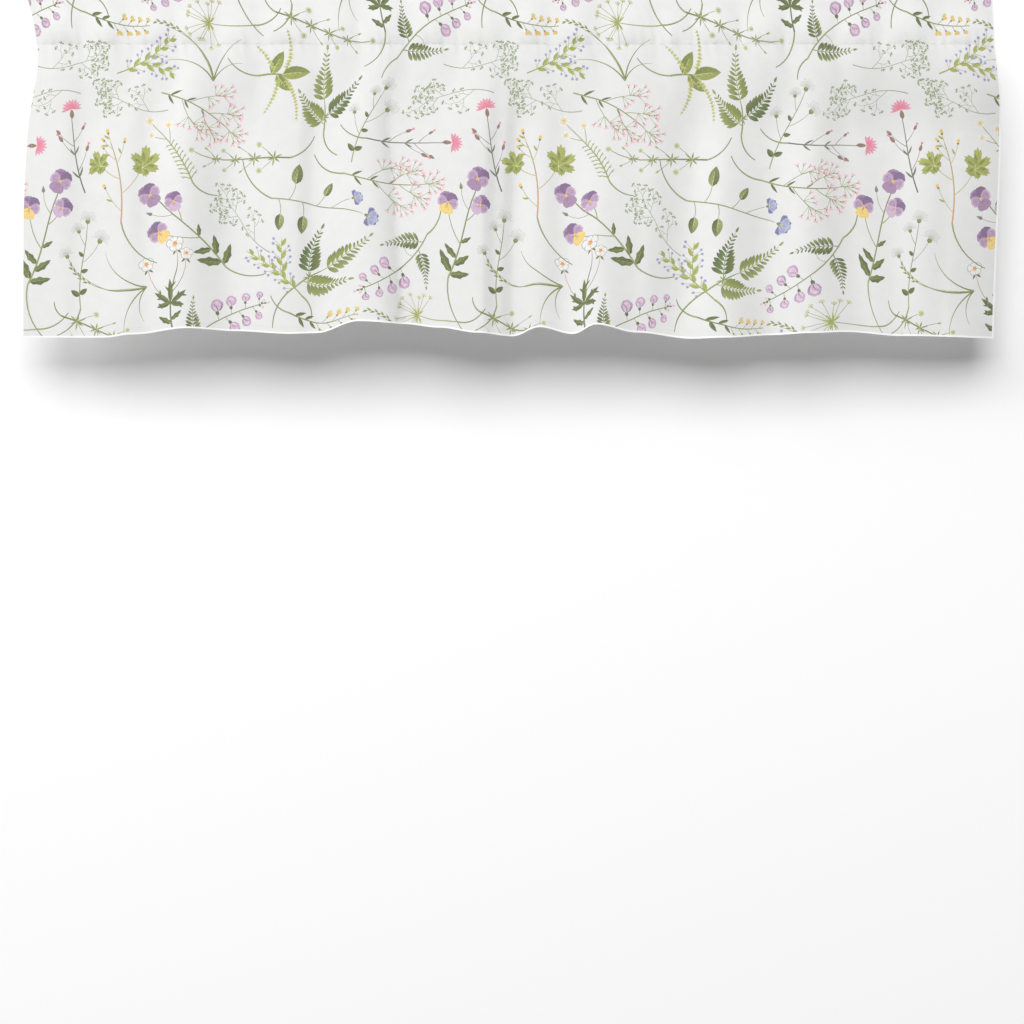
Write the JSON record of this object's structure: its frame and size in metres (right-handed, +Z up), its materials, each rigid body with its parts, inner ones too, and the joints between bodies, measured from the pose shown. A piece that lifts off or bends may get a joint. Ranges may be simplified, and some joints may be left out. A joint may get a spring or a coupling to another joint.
{
  "type": "window valance",
  "caption": "Short unlined cloth window valance with soft vertical folds, an open rod pocket along its top edge and narrow turned hems.",
  "frame": {"origin": "middle of the top edge of the rod pocket, where the rod inside holds the cloth up", "axes": "+X along the window, to the right as seen from the room; +Y towards the wall; +Z up; the printed face looks along -Y"},
  "size_m": [1.2762, 0.0418, 0.4552],
  "materials": {
    "printed_cloth": "matt white plain-weave cloth printed with small wild flowers and leaves"
  },
  "bodies": {
    "root": {"rod_pocket": "printed_cloth", "drop_panel": "printed_cloth"}
  },
  "joints": []
}
